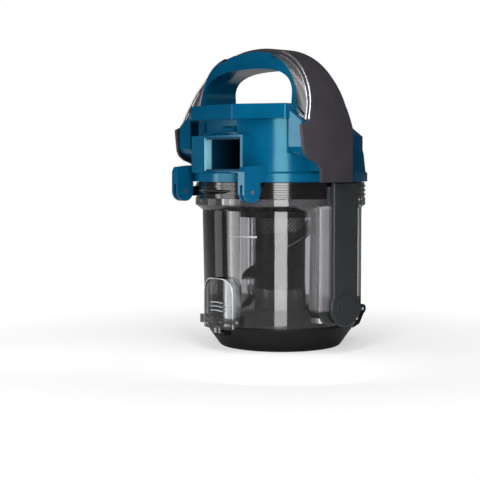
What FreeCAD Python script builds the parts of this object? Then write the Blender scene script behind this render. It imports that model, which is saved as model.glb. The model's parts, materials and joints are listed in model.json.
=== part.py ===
import FreeCAD, Part
import math
import os

import Sketcher
from FreeCAD import Placement, Rotation, Vector

# Cyclonic dust container of a bagless vacuum cleaner, in millimetres.
# The origin is the middle of the lid's round inlet, on the flat bottom that the container stands on.
# +Z is up, -Y is the rear side with the port, the hinge ears and the release button,
# and the container is all but symmetric about the plane X = 0.

doc = FreeCAD.newDocument("dust_container")

# ---------------------------------------------------------------- driving dimensions

DIMENSIONS = {
    # bin and lid
    "bin_radius": 67.5,
    "bin_foot_radius": 65.7,
    "bin_wall": 2.3,
    "bin_bottom": 21.4,
    "bin_top": 122.0,
    "flange_top": 127.7,
    "flange_radius": 73.6,
    "pad_face": 75.0,
    "pad_rear": -24.0,
    "pad_front": 24.6,
    "pad_bottom": 24.0,
    "pad_tongue_top": 138.0,
    "lid_top": 21.0,
    "lid_floor": 3.0,
    "lid_foot_radius": 52.0,
    "inlet_radius": 16.4,
    "collar_radius": 21.0,
    "catch_half": 7.0,
    "catch_bottom": 13.4,
    "catch_top": 17.4,
    "catch_reach": 68.8,
    # lid hinge and release button
    "hinge_reach": 70.0,
    "hinge_height": 28.0,
    "hinge_pin_radius": 1.5,
    "knuckle_radius": 4.1,
    "knuckle_half": 26.0,
    "hinge_arm": 6.0,
    "button_half": 19.4,
    "button_top": 61.5,
    "button_bottom": 19.0,
    "button_inner": 69.7,
    "button_outer": 72.0,
    "button_pivot_reach": 68.6,
    "button_pivot_height": 26.0,
    "button_ear_near": 20.9,
    "button_ear_far": 23.1,
    "button_ear_reach": 70.6,
    "button_tongue_half": 5.0,
    "button_tongue_bottom": 15.6,
    # side columns
    "column_face": 78.4,
    "column_rear": -11.3,
    "column_front": 17.0,
    "column_top": 141.0,
    "hub_height": 38.5,
    "hub_radius": 16.6,
    "cap_radius": 11.0,
    # separator
    "core_radius": 21.8,
    "core_bottom": 49.0,
    "screen_bottom": 97.0,
    "screen_top": 121.0,
    "ramp_radius": 33.5,
    "ramp_pitch": 105.0,
    "head_bottom": 122.8,
    # filter frame
    "frame_bottom": 128.0,
    "frame_top": 141.0,
    "frame_radius": 72.8,
    "frame_rib": 0.9,
    "frame_bore": 66.0,
    # upper housing
    "cover_bottom": 141.6,
    "cover_radius": 75.2,
    "cover_shoulder": 180.0,
    "cover_top": 191.6,
    "cover_wall": 2.6,
    "ear_pivot_reach": 73.0,
    "ear_pivot_height": 133.5,
    "ear_inner": 40.0,
    "ear_outer": 48.0,
    "ear_radius": 8.5,
    "port_face": 71.6,
    "port_bottom": 149.0,
    "port_top": 180.0,
    "port_left": -18.0,
    "port_right": 31.0,
    "port_frame_left": -33.2,
    "port_frame_right": 34.0,
    # deck and handle
    "deck_bottom": 193.0,
    "deck_top": 205.0,
    "deck_rear": 76.6,
    "deck_rear_half": 27.0,
    "deck_side_half": 63.5,
    "deck_side_rear": 49.6,
    "handle_half": 83.5,
    "handle_rise": 76.0,
    "handle_spring": 178.0,
    "handle_wall": 3.3,
    "grip_half": 56.5,
    "grip_rise": 24.0,
    "grip_spring": 212.0,
    "ridge_half": 63.0,
    "ridge_rise": 59.3,
    "ridge_spring": 190.0,
    "ridge_reach": 38.4,
}


class Length:
    """A size in millimetres, kept together with the sheet formula that gives it."""

    def __init__(self, value, formula):
        self.value = value
        self.formula = formula

    def combined(self, sign, other, value):
        return Length(value, f"({self.formula} {sign} {length(other).formula})")

    def __add__(self, other):
        return self.combined("+", other, self.value + length(other).value)

    def __radd__(self, other):
        return length(other) + self

    def __sub__(self, other):
        return self.combined("-", other, self.value - length(other).value)

    def __rsub__(self, other):
        return length(other) - self

    def __mul__(self, factor):
        return self.combined("*", factor, self.value * length(factor).value)

    def __rmul__(self, factor):
        return self * factor

    def __neg__(self):
        return Length(-self.value, f"(0 - {self.formula})")


def length(size):
    """Give a plain number the same form as a size from the sheet."""
    if isinstance(size, Length):
        return size
    return Length(float(size), f"({float(size)})")


class Sizes:
    """The driving dimensions by name."""


def fill_sheet():
    """Write the driving dimensions to the sheet and return them by name."""
    sheet = doc.addObject("Spreadsheet::Sheet", "dims")
    sizes = Sizes()
    for row, (alias, value) in enumerate(DIMENSIONS.items(), start=1):
        sheet.set(f"A{row}", alias)
        sheet.set(f"B{row}", str(value))
        sheet.setAlias(f"B{row}", alias)
        setattr(sizes, alias, Length(value, f"dims.{alias}"))
    doc.recompute()
    return sizes


d = fill_sheet()
parts = []

# ---------------------------------------------------------------- modelling helpers


def bind(target, prop, size):
    """Set a property to a size and tie it to the sheet."""
    size = length(size)
    setattr(target, prop, size.value)
    target.setExpression(prop, size.formula)


def body(name):
    """Start the PartDesign body of one sub-part."""
    made = doc.addObject("PartDesign::Body", name)
    made.Label = name
    made.AllowCompound = True
    parts.append(made)
    return made


def keep(made, name):
    """Make a Part object one of the sub-parts."""
    made.Label = name
    parts.append(made)
    return made


def start_sketch(owner, plane, name, offset=0.0):
    """Attach a new sketch to one of the body's own origin planes."""
    sketch = owner.newObject("Sketcher::SketchObject", name)
    origin_plane = next(feature for feature in owner.Origin.OriginFeatures if feature.Role == plane)
    sketch.AttachmentSupport = (origin_plane, [""])
    sketch.MapMode = "FlatFace"
    sketch.AttachmentOffset = Placement(Vector(0, 0, offset), Rotation())
    return sketch


def draw_outline(sketch, points):
    """Draw a closed polygon whose corners are tied to the sheet."""
    first = sketch.GeometryCount
    corners = [(length(across), length(up)) for across, up in points]
    count = len(corners)
    for index, (across, up) in enumerate(corners):
        next_across, next_up = corners[(index + 1) % count]
        start = Vector(across.value, up.value, 0)
        end = Vector(next_across.value, next_up.value, 0)
        line = Part.LineSegment(start, end)
        sketch.addGeometry(line, False)
    for index in range(count):
        following = (index + 1) % count
        sketch.addConstraint(Sketcher.Constraint("Coincident", first + index, 2, first + following, 1))
    for index, (across, up) in enumerate(corners):
        for kind, size in (("DistanceX", across), ("DistanceY", up)):
            place = sketch.addConstraint(Sketcher.Constraint(kind, -1, 1, first + index, 1, size.value))
            sketch.setExpression(f"Constraints[{place}]", size.formula)


def draw_circle(sketch, across, up, radius):
    """Draw a circle whose centre and radius are tied to the sheet."""
    across, up, radius = length(across), length(up), length(radius)
    circle = Part.Circle(Vector(across.value, up.value, 0), Vector(0, 0, 1), radius.value)
    index = sketch.addGeometry(circle, False)
    for kind, size in (("DistanceX", across), ("DistanceY", up)):
        place = sketch.addConstraint(Sketcher.Constraint(kind, -1, 1, index, 3, size.value))
        sketch.setExpression(f"Constraints[{place}]", size.formula)
    place = sketch.addConstraint(Sketcher.Constraint("Radius", index, radius.value))
    sketch.setExpression(f"Constraints[{place}]", radius.formula)


def finish_feature(owner, feature, cuts):
    """Recompute, and stop if a cut has taken nothing away."""
    doc.recompute()
    base = feature.BaseFeature
    if cuts and base is not None and feature.Shape.Volume >= base.Shape.Volume - 1e-3:
        raise RuntimeError(f"{feature.Name} in {owner.Label} cuts nothing")
    return feature


def revolve(owner, name, points, cut=False):
    """Turn a profile, given as radius and height, about the Z axis."""
    sketch = start_sketch(owner, "XZ_Plane", name + "_profile")
    draw_outline(sketch, points)
    feature = owner.newObject("PartDesign::Groove" if cut else "PartDesign::Revolution", name)
    feature.Profile = sketch
    feature.ReferenceAxis = (sketch, ["V_Axis"])
    feature.Angle = 360
    return finish_feature(owner, feature, cut)


def extrude(owner, name, plane, outlines, depth, offset=0.0, circles=(), middle=False, cut=False, flip=False):
    """Pad or pocket outlines and circles drawn on an origin plane, from an offset along its normal."""
    sketch = start_sketch(owner, plane, name + "_outline", offset)
    for outline in outlines:
        draw_outline(sketch, outline)
    for across, up, radius in circles:
        draw_circle(sketch, across, up, radius)
    feature = owner.newObject("PartDesign::Pocket" if cut else "PartDesign::Pad", name)
    feature.Profile = sketch
    bind(feature, "Length", depth)
    if middle:
        feature.SideType = "Symmetric"
    feature.Reversed = flip
    return finish_feature(owner, feature, cut)


def round_edges(owner, name, radius, chosen, kind="Fillet"):
    """Round or bevel the edges of the body that pass a test."""
    base = owner.Tip
    names = [f"Edge{index + 1}" for index, edge in enumerate(base.Shape.Edges) if chosen(edge)]
    if not names:
        raise RuntimeError(f"{name} in {owner.Label} has no edges")
    feature = owner.newObject("PartDesign::" + kind, name)
    feature.Base = (base, names)
    bind(feature, "Radius" if kind == "Fillet" else "Size", radius)
    doc.recompute()
    return feature


def ring_edge(radius, height, slack=0.05):
    """Test for a round edge about the Z axis at a radius and height."""

    def chosen(edge):
        curve = edge.Curve
        return (
            isinstance(curve, Part.Circle)
            and abs(curve.Radius - radius) < slack
            and abs(curve.Center.z - height) < slack
        )

    return chosen


def straight_along(axis, test=lambda middle: True):
    """Test for a straight edge along X, Y or Z whose middle passes a further test."""

    def chosen(edge):
        if not isinstance(edge.Curve, Part.Line):
            return False
        direction = edge.Curve.Direction
        along = abs(getattr(direction, axis)) > 0.999
        return along and test(edge.CenterOfMass)

    return chosen


def rectangle(low_across, low_up, high_across, high_up):
    """Corners of an upright rectangle."""
    return [(low_across, low_up), (high_across, low_up), (high_across, high_up), (low_across, high_up)]


def rod(name, radius, rod_length, middle, axis):
    """A round bar about a point, along an axis."""
    made = doc.addObject("Part::Cylinder", name)
    bind(made, "Radius", radius)
    bind(made, "Height", rod_length)
    turn = Rotation(Vector(0, 0, 1), axis)
    start = middle - axis * (length(rod_length).value / 2)
    made.Placement = Placement(start, turn)
    return made


def washer(name, inner, outer, low, high):
    """A flat ring about the Z axis, as one sub-part."""
    owner = body(name)
    revolve(owner, name + "_ring", [(inner, low), (outer, low), (outer, high), (inner, high)])
    return owner


def group(name, members):
    """Separate identical solids kept together as one sub-part."""
    made = doc.addObject("Part::Compound", name)
    made.Links = members
    return keep(made, name)


def solid(name, shape):
    """A sub-part whose shape is worked out in code."""
    made = doc.addObject("Part::Feature", name)
    made.Shape = shape
    made.Placement = Placement()
    return keep(made, name)


def block(low, high):
    """A box between two corners, as a shape."""
    return Part.makeBox(high.x - low.x, high.y - low.y, high.z - low.z, low)


X_AXIS = Vector(1, 0, 0)
Y_AXIS = Vector(0, 1, 0)
Z_AXIS = Vector(0, 0, 1)
SIDES = (("left", -1), ("right", 1))
HANDLE_SCREW_HEIGHTS = (154.0, 176.0)
TOP_LIMIT = 400.0
# Powers of the arches, where 2 is an ellipse and more is squarer.
HANDLE_POWER = 2.2
GRIP_POWER = 2.8
RIDGE_POWER = 2.85

# ---------------------------------------------------------------- lid


def make_lid():
    """Bowl-shaped lid with the round inlet, its hinge arms and the catch that the button holds."""
    lid = body("lid_shell")
    revolve(
        lid,
        "bowl",
        [
            (0, 0),
            (d.lid_foot_radius, 0),
            (d.bin_foot_radius - 5.2, 12),
            (d.bin_foot_radius, d.lid_top - 1.5),
            (d.bin_foot_radius, d.lid_top),
            (0, d.lid_top),
        ],
    )
    round_edges(lid, "foot_round", 3.5, ring_edge(d.lid_foot_radius.value, 0))
    # Catch at the rear that the release button holds.
    catch = rectangle(-d.catch_half, d.catch_bottom, d.catch_half, d.catch_top)
    extrude(lid, "catch", "XZ_Plane", [catch], d.catch_reach.value - 60.0, offset=60.0)
    # Hinge arms at the front, one each side of the bracket's barrel.
    arm_start = d.knuckle_half + 0.4
    for side, sign in SIDES:
        arm = [
            (50, 15),
            (58, 12),
            (d.hinge_reach - 4, 15),
            (d.hinge_reach + 1.5, d.hinge_height - 4),
            (d.hinge_reach, d.hinge_height),
            (d.hinge_reach - 2.8, d.hinge_height + 2.4),
            (d.hinge_reach - 12, d.hinge_height - 5),
            (50, d.lid_top - 0.5),
        ]
        start = arm_start if sign > 0 else -arm_start - d.hinge_arm
        extrude(lid, f"arm_{side}", "YZ_Plane", [arm], d.hinge_arm, offset=start.value)
        knuckle = (d.hinge_reach, d.hinge_height, d.knuckle_radius)
        extrude(lid, f"knuckle_{side}", "YZ_Plane", [], d.hinge_arm, offset=start.value, circles=[knuckle])
    # Room for the bin above the rim, then the inside of the bowl round its collar.
    room = d.bin_foot_radius + 0.5
    revolve(lid, "bin_room", [(0, d.lid_top), (room, d.lid_top), (room, 45), (0, 45)], cut=True)
    rim_inner = d.bin_foot_radius - 4.1
    inside = [
        (d.collar_radius, d.lid_floor),
        (d.lid_foot_radius - 2, d.lid_floor),
        (rim_inner - 3.4, 12.5),
        (rim_inner, d.lid_top - 1),
        (rim_inner, d.lid_top + 1),
        (d.collar_radius, d.lid_top + 1),
    ]
    revolve(lid, "bowl_inside", inside, cut=True)
    seat = rectangle(d.bin_foot_radius - 3.1, d.lid_top - 2, d.bin_foot_radius - 0.9, d.lid_top + 1)
    revolve(lid, "seal_seat", seat, cut=True)
    revolve(lid, "inlet", rectangle(0, -1, d.inlet_radius, d.lid_top + 1), cut=True)
    eye = (d.hinge_reach, d.hinge_height, d.hinge_pin_radius + 0.06)
    extrude(lid, "pin_eye", "YZ_Plane", [], 90, circles=[eye], middle=True, cut=True)
    # Stiffening ribs on the floor and the boss of the small screw.
    for index, (low, high) in enumerate(((-44, -26), (26, 44))):
        rib = rectangle(-0.8, low, 0.8, high)
        extrude(lid, f"floor_rib_{index}", "XY_Plane", [rib], 2.4, offset=d.lid_floor.value - 0.2)
    boss = (18, -30, 4.2)
    extrude(lid, "screw_boss", "XY_Plane", [], 4.0, offset=d.lid_floor.value - 0.2, circles=[boss])
    extrude(lid, "screw_hole", "XY_Plane", [], 3.2, offset=7.0, circles=[(18, -30, 1.6)], cut=True)
    return lid


def make_lid_fittings():
    """Seals, hinge pin and screw of the lid."""
    groove_inner = d.bin_foot_radius - 3.0
    groove_outer = d.bin_foot_radius - 1.0
    washer("lid_seal", groove_inner, groove_outer, d.lid_top - 1.95, d.lid_top + 0.05)
    washer("collar_seal", d.inlet_radius + 0.8, d.collar_radius - 0.4, d.lid_top + 0.02, d.lid_top + 2.2)
    pin_middle = Vector(0, d.hinge_reach.value, d.hinge_height.value)
    pin_length = (d.knuckle_half + d.hinge_arm + 0.4) * 2
    keep(rod("lid_hinge_pin", d.hinge_pin_radius, pin_length, pin_middle, X_AXIS), "lid_hinge_pin")
    shank = rod("lid_screw_shank", 1.5, 3.0, Vector(18, -30, 5.6), Z_AXIS)
    head = rod("lid_screw_head", 3.0, 1.4, Vector(18, -30, 7.5), Z_AXIS)
    screw = doc.addObject("Part::Fuse", "lid_screw")
    screw.Base = head
    screw.Tool = shank
    keep(screw, "lid_screw")


# ---------------------------------------------------------------- bin


def make_bin():
    """Clear bin: tapered wall, top flange and a flat hollow bulge with a tongue on each side."""
    bin_shell = body("bin_shell")
    flange_step = d.bin_top - 1.6
    revolve(
        bin_shell,
        "wall",
        [
            (0, d.bin_bottom),
            (d.bin_foot_radius, d.bin_bottom),
            (d.bin_radius, flange_step - 3.0),
            (d.flange_radius - 1.2, d.bin_top - 1.0),
            (d.flange_radius, d.bin_top),
            (d.flange_radius, d.flange_top),
            (0, d.flange_top),
        ],
    )
    tongue_rear = -14.3
    tongue_front = 19.5
    bulge = [
        (d.pad_rear, d.pad_bottom),
        (d.pad_front, d.pad_bottom),
        (d.pad_front, d.bin_top),
        (tongue_front, d.bin_top + 1),
        (tongue_front, d.pad_tongue_top),
        (tongue_rear, d.pad_tongue_top),
        (tongue_rear, d.bin_top + 1),
        (d.pad_rear, d.bin_top),
    ]
    extrude(bin_shell, "bulges", "YZ_Plane", [bulge], d.pad_face * 2, middle=True)
    # Ears that hold the release button's pin.
    for side, sign in SIDES:
        near, far = sorted((sign * d.button_ear_near.value, sign * d.button_ear_far.value))
        ear = rectangle(near, d.bin_bottom + 0.8, far, d.button_pivot_height + 3.4)
        extrude(bin_shell, f"button_ear_{side}", "XZ_Plane", [ear], d.button_ear_reach.value - 50.0, offset=50.0)
    # The inside: a tapered bore, the hollows of the bulges and the seat above the flange.
    revolve(
        bin_shell,
        "bore",
        [
            (0, d.bin_bottom - 1),
            (d.bin_foot_radius - d.bin_wall, d.bin_bottom - 1),
            (d.bin_radius - d.bin_wall, flange_step),
            (d.bin_radius - d.bin_wall, d.flange_top + 1),
            (0, d.flange_top + 1),
        ],
        cut=True,
    )
    hollow = rectangle(
        d.pad_rear + d.bin_wall,
        d.pad_bottom + d.bin_wall,
        d.pad_front - d.bin_wall,
        d.bin_top - d.bin_wall,
    )
    hollow_width = (d.pad_face - d.bin_wall) * 2
    extrude(bin_shell, "hollows", "YZ_Plane", [hollow], hollow_width, middle=True, cut=True)
    seat = rectangle(-40, d.flange_top, 40, d.pad_tongue_top + 1)
    extrude(bin_shell, "seat", "YZ_Plane", [seat], (d.pad_face - 2.6) * 2, middle=True, cut=True)
    pin_eye = (-d.button_pivot_reach, d.button_pivot_height, 1.22)
    extrude(bin_shell, "button_pin_eye", "YZ_Plane", [], 60, circles=[pin_eye], middle=True, cut=True)
    hub_middle = (d.column_rear + d.column_front) * 0.5
    screw_eye = (hub_middle, d.hub_height, 1.7)
    width = d.pad_face * 2 + 2
    extrude(bin_shell, "hub_eye", "YZ_Plane", [], width, circles=[screw_eye], middle=True, cut=True)
    face = d.pad_face.value
    bottom = d.pad_bottom.value

    def lower_corner(middle):
        return abs(middle.x) > face - 8 and abs(middle.z - bottom) < 0.1

    round_edges(bin_shell, "bulge_corners", 14.0, straight_along("x", lower_corner))

    def front_corner(middle):
        outer = abs(abs(middle.x) - face) < 0.1
        return outer and d.pad_bottom.value + 10 < middle.z < d.bin_top.value

    round_edges(bin_shell, "bulge_edges", 1.5, straight_along("z", front_corner))
    return bin_shell


def make_columns():
    """Dark bars on both bulges, each with a round foot, a cap over it and a screw under the cap."""
    hub_middle = (d.column_rear + d.column_front) * 0.5
    thickness = d.column_face - d.pad_face - 0.1
    cap_depth = 1.5
    screws = []
    for side, sign in SIDES:
        column = body(f"side_column_{side}")
        inner = (d.pad_face + 0.1).value
        start = inner if sign > 0 else -d.column_face.value
        bar = rectangle(d.column_rear, d.hub_height, d.column_front, d.column_top)
        extrude(column, f"bar_{side}", "YZ_Plane", [bar], thickness, offset=start)
        foot = (hub_middle, d.hub_height, d.hub_radius)
        extrude(column, f"foot_{side}", "YZ_Plane", [], thickness, offset=start, circles=[foot])
        seat_start = (d.column_face - cap_depth).value
        seat_circle = (hub_middle, d.hub_height, d.cap_radius + 0.15)
        extrude(
            column,
            f"cap_seat_{side}",
            "YZ_Plane",
            [],
            cap_depth + 1,
            offset=seat_start if sign > 0 else -seat_start,
            circles=[seat_circle],
            cut=True,
            flip=sign > 0,
        )
        eye = (hub_middle, d.hub_height, 1.7)
        extrude(column, f"eye_{side}", "YZ_Plane", [], 200, circles=[eye], middle=True, cut=True)
        face = d.column_face.value

        def outer_edge(edge, face=face):
            flat = all(abs(abs(vertex.X) - face) < 0.05 for vertex in edge.Vertexes)
            small = isinstance(edge.Curve, Part.Circle) and edge.Curve.Radius < d.cap_radius.value + 1
            return flat and not small

        round_edges(column, f"bar_bevel_{side}", 0.8, outer_edge, kind="Chamfer")

        cap = body(f"hub_cap_{side}")
        cap_start = (d.column_face - cap_depth + 0.1).value
        cap_circle = (hub_middle, d.hub_height, d.cap_radius)
        cap_height = cap_depth + 0.7
        start = cap_start if sign > 0 else -cap_start - cap_height
        extrude(cap, f"cap_disc_{side}", "YZ_Plane", [], cap_height, offset=start, circles=[cap_circle])
        cap_face = cap_start + cap_height

        def cap_rim(edge, cap_face=cap_face):
            return abs(abs(edge.CenterOfMass.x) - cap_face) < 0.05

        round_edges(cap, f"cap_round_{side}", 0.7, cap_rim)
        middle = Vector(sign * 73.8, hub_middle.value, d.hub_height.value)
        screws.append(rod(f"column_screw_{side}", 1.5, 5.8, middle, X_AXIS))
    group("column_screws", screws)


def make_lid_hinge_bracket():
    """Dark bracket on the front of the bin that carries the lid's pin, and its two screws."""
    bracket = body("hinge_bracket")
    plate = rectangle(d.hinge_reach - 12, 22.2, d.hinge_reach - 0.5, 44)
    extrude(bracket, "plate", "YZ_Plane", [plate], d.knuckle_half * 2, middle=True)
    knuckle = (d.hinge_reach, d.hinge_height, d.knuckle_radius)
    extrude(bracket, "barrel", "YZ_Plane", [], d.knuckle_half * 2, circles=[knuckle], middle=True)
    eye = (d.hinge_reach, d.hinge_height, d.hinge_pin_radius + 0.03)
    extrude(bracket, "barrel_eye", "YZ_Plane", [], 90, circles=[eye], middle=True, cut=True)
    foot, top = d.bin_foot_radius + 0.15, d.bin_foot_radius + 0.6
    revolve(bracket, "bin_side", [(0, 18), (foot, 18), (foot, 21.4), (top, 48), (0, 48)], cut=True)
    holes = [(sign * 9, 38, 1.6) for _, sign in SIDES]
    extrude(bracket, "screw_eyes", "XZ_Plane", [], 30, circles=holes, offset=-80, cut=True, flip=True)
    screws = []
    for side, sign in SIDES:
        head_middle = Vector(sign * 9, d.hinge_reach.value + 0.15, 38)
        screws.append(rod(f"bracket_screw_{side}", 2.8, 1.2, head_middle, Y_AXIS))
    group("bracket_screws", screws)


# ---------------------------------------------------------------- release button


def button_outline(inset):
    """Arched outline of the button seen from the rear, as a wire in the XZ plane."""
    half = d.button_half.value - inset
    low = d.button_bottom.value + inset
    high = d.button_top.value - inset
    corner = 13.0 - inset
    bevel = corner * (1 - math.sqrt(0.5))
    left_low, right_low = Vector(-half, 0, low), Vector(half, 0, low)
    right_high, left_high = Vector(half, 0, high - corner), Vector(-half, 0, high - corner)
    right_top, left_top = Vector(half - corner, 0, high), Vector(corner - half, 0, high)
    right_arc = Part.Arc(right_high, Vector(half - bevel, 0, high - bevel), right_top).toShape()
    left_arc = Part.Arc(left_top, Vector(bevel - half, 0, high - bevel), left_high).toShape()
    edges = [
        Part.makeLine(left_low, right_low),
        Part.makeLine(right_low, right_high),
        right_arc,
        Part.makeLine(right_top, left_top),
        left_arc,
        Part.makeLine(left_high, left_low),
    ]
    return Part.Wire(edges)


def tube_shape(inner, outer, low, high):
    """A tube about the Z axis, as a shape."""
    outside = Part.makeCylinder(outer, high - low, Vector(0, 0, low))
    return outside.cut(Part.makeCylinder(inner, high - low, Vector(0, 0, low)))


def make_button():
    """Clear rocker: a curved plate with a rim round its back, a cross rib and a tongue below."""
    inner, outer = d.button_inner.value, d.button_outer.value
    low, high = d.button_bottom.value, d.button_top.value
    rim_inner = inner - 0.6
    rim_width = 2.2
    reach = Vector(0, -90, 0)
    whole = Part.Face(button_outline(0)).extrude(reach)
    middle = Part.Face(button_outline(rim_width)).extrude(reach)
    ring = whole.common(tube_shape(rim_inner, outer, low - 1, high + 1))
    plate = ring.cut(middle.common(tube_shape(rim_inner - 1, inner, low - 1, high + 1)))
    cross_rib = block(Vector(-18.1, -90, 36.6), Vector(18.1, -40, 38.2))
    cross_rib = cross_rib.common(tube_shape(inner - 0.6, inner + 0.1, 30, 45))
    pivot = Vector(0, -d.button_pivot_reach.value, d.button_pivot_height.value)
    hub_half = d.button_ear_near.value - 0.3
    hub = Part.makeCylinder(2.4, hub_half * 2, pivot - X_AXIS * hub_half, X_AXIS)
    tongue_half = d.button_tongue_half.value
    tongue_outer = Vector(-tongue_half, -outer, d.button_tongue_bottom.value)
    tongue_inner = Vector(tongue_half, -inner - 0.1, low + 1)
    tongue = block(tongue_outer, tongue_inner)
    shape = plate.fuse([cross_rib, hub, tongue]).removeSplitter()
    # The plate's lower edge is bevelled inside, so that it swings clear of the lid.
    bevel = Part.makeCone(inner + 1.2, rim_inner - 0.6, 3.6, Vector(0, 0, low - 0.1), Z_AXIS)
    sides = block(Vector(-40, -90, low - 1), Vector(40, -60, low + 4))
    shape = shape.cut(bevel.common(sides)).fuse(tongue).removeSplitter()
    pin_space = Part.makeCylinder(1.27, 60, pivot - X_AXIS * 30, X_AXIS)
    spring_half = 4.0
    spring_room = Part.makeCylinder(2.35, spring_half * 2 + 0.6, pivot - X_AXIS * (spring_half + 0.3), X_AXIS)
    solid("release_button", shape.cut(pin_space).cut(spring_room))
    keep(rod("button_pin", 1.2, d.button_ear_far.value * 2, pivot, X_AXIS), "button_pin")
    make_coil("button_spring", pivot, spring_half)


def make_coil(name, middle, half):
    """Torsion spring round a pin along X, as its closed outer shape."""
    outside = rod(name + "_outside", 2.0, half * 2, middle, X_AXIS)
    inside = rod(name + "_inside", 1.25, half * 2 + 1, middle, X_AXIS)
    coil = doc.addObject("Part::Cut", name)
    coil.Base = outside
    coil.Tool = inside
    keep(coil, name)


# ---------------------------------------------------------------- separator


def make_separator():
    """Inlet tube, solid core, perforated band, spiral ramp and the plate with its skirt."""
    washer("inlet_tube", d.core_radius - 2.6, d.core_radius + 0.4, d.lid_top + 2.6, d.core_bottom)
    core = body("separator_core")
    core_inner = d.core_radius - 2.2
    divider = d.screen_bottom - 2.4
    revolve(
        core,
        "core_wall",
        [
            (core_inner, d.core_bottom + 0.1),
            (d.core_radius, d.core_bottom + 0.1),
            (d.core_radius, d.screen_bottom),
            (0, d.screen_bottom),
            (0, divider),
            (core_inner, divider),
        ],
    )
    window = rectangle(-12, 66, 12, 90)
    extrude(core, "outlet_window", "XZ_Plane", [window], 40, offset=0, cut=True, flip=False)
    washer("screen_sleeve", d.core_radius - 1.2, d.core_radius, d.screen_bottom + 0.1, d.screen_top)

    head = body("separator_head")
    skirt_outer = 35.0
    revolve(
        head,
        "head_plate",
        [
            (d.core_radius - 2.0, d.screen_top + 0.1),
            (d.core_radius + 2.0, d.screen_top + 0.1),
            (d.core_radius + 2.0, d.head_bottom),
            (skirt_outer - 2, d.head_bottom),
            (skirt_outer - 2, 111),
            (skirt_outer, 111),
            (skirt_outer + 1.5, d.head_bottom),
            (d.bin_radius - d.bin_wall - 0.3, d.head_bottom),
            (d.bin_radius - d.bin_wall - 0.3, d.flange_top - 0.1),
            (d.core_radius - 2.0, d.flange_top - 0.1),
        ],
    )
    make_ramp()


def make_ramp():
    """Spiral vane that turns the air round the core as it leaves the outlet window."""
    turn = 160.0
    start_angle = -130.0
    start_height = 56.0
    thickness = 1.8
    inner = d.core_radius.value + 0.1
    outer = d.ramp_radius.value
    rise = d.ramp_pitch.value * turn / 360.0
    helix = Part.makeHelix(d.ramp_pitch.value, rise, outer)
    section = Part.makePolygon(
        [
            Vector(inner, 0, 0),
            Vector(outer, 0, 0),
            Vector(outer, 0, thickness),
            Vector(inner, 0, thickness),
            Vector(inner, 0, 0),
        ]
    )
    sweep = Part.BRepOffsetAPI.MakePipeShell(Part.Wire(helix.Edges))
    sweep.setAuxiliarySpine(Part.Wire([Part.makeLine(Vector(0, 0, -10), Vector(0, 0, rise + 10))]), True, 0)
    sweep.add(Part.Wire(section.Edges))
    sweep.build()
    sweep.makeSolid()
    vane = sweep.shape()
    made = solid("helical_ramp", vane)
    made.Placement = Placement(Vector(0, 0, start_height), Rotation(Z_AXIS, start_angle))


# ---------------------------------------------------------------- filter frame


def make_filter_frame():
    """Black ribbed ring on the bin's flange, with the lugs that carry the cover's pins."""
    frame = body("filter_frame")
    rib_outer = d.frame_radius + d.frame_rib
    profile = [(24, d.frame_bottom + 2), (24, d.frame_bottom), (d.frame_radius, d.frame_bottom)]
    rib_height = 1.9
    for bottom in (129.4, 133.2, 137.0):
        profile += [
            (d.frame_radius, bottom),
            (rib_outer, bottom + 0.3),
            (rib_outer, bottom + rib_height - 0.3),
            (d.frame_radius, bottom + rib_height),
        ]
    profile += [
        (d.frame_radius, d.frame_top),
        (d.frame_bore, d.frame_top),
        (d.frame_bore, d.frame_bottom + 2),
    ]
    revolve(frame, "ring", profile)
    # Lugs for the cover's hinge pins.
    lug_half = 1.1
    lug_middle = (d.ear_inner + d.ear_outer) * 0.5
    for side, sign in SIDES:
        start = lug_middle.value * sign - lug_half
        arm = rectangle(
            -d.ear_pivot_reach,
            d.ear_pivot_height - 4.2,
            -54.5,
            d.ear_pivot_height + 4.2,
        )
        extrude(frame, f"lug_{side}", "YZ_Plane", [arm], lug_half * 2, offset=start)
        tip = (-d.ear_pivot_reach, d.ear_pivot_height, 4.2)
        extrude(frame, f"lug_tip_{side}", "YZ_Plane", [], lug_half * 2, offset=start, circles=[tip])
    eye = (-d.ear_pivot_reach, d.ear_pivot_height, 1.86)
    extrude(frame, "lug_eyes", "YZ_Plane", [], 120, circles=[eye], middle=True, cut=True)
    # Flats on both sides, where the bulges' tongues pass.
    flat = d.pad_face - 2.9
    for side, sign in SIDES:
        start = flat.value * sign
        outline = rectangle(-30, 120, 30, 150)
        extrude(frame, f"flat_{side}", "YZ_Plane", [outline], 10, offset=start, cut=True, flip=sign > 0)
    # Grooves for the two soft rings.
    low_seal = [(67, 127), (70.5, 127), (70.5, 129.2), (67, 129.2)]
    revolve(frame, "lower_groove", low_seal, cut=True)
    top_seal = [(67, 139.6), (70.5, 139.6), (70.5, 142), (67, 142)]
    revolve(frame, "upper_groove", top_seal, cut=True)


def star_outline(inner, outer, teeth):
    """A closed zigzag between two radii."""
    points = []
    for index in range(teeth * 2):
        radius = outer if index % 2 == 0 else inner
        angle = math.pi * index / teeth
        points.append(Vector(radius * math.cos(angle), radius * math.sin(angle), 0))
    return Part.makePolygon(points + points[:1])


def make_filter():
    """Pleated ring in the frame with its soft rim, and the soft rings round the frame."""
    pleats = 40
    height = 9.0
    outside = Part.Face(star_outline(52.0, 60.0, pleats)).extrude(Z_AXIS * height)
    inside = Part.Face(star_outline(28.0, 32.0, pleats)).extrude(Z_AXIS * height)
    filter_solid = solid("pleated_filter", outside.cut(inside))
    filter_solid.Placement = Placement(Vector(0, 0, d.frame_bottom.value + 2.2), Rotation())
    washer("filter_rim", 60.2, d.frame_bore - 0.2, d.frame_bottom + 2.1, d.frame_top - 0.6)
    washer("bin_seal", 67.1, 70.4, d.flange_top + 0.02, 129.1)
    washer("cover_seal", 67.1, 70.4, 139.7, d.frame_top + 0.25)


# ---------------------------------------------------------------- upper housing


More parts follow.
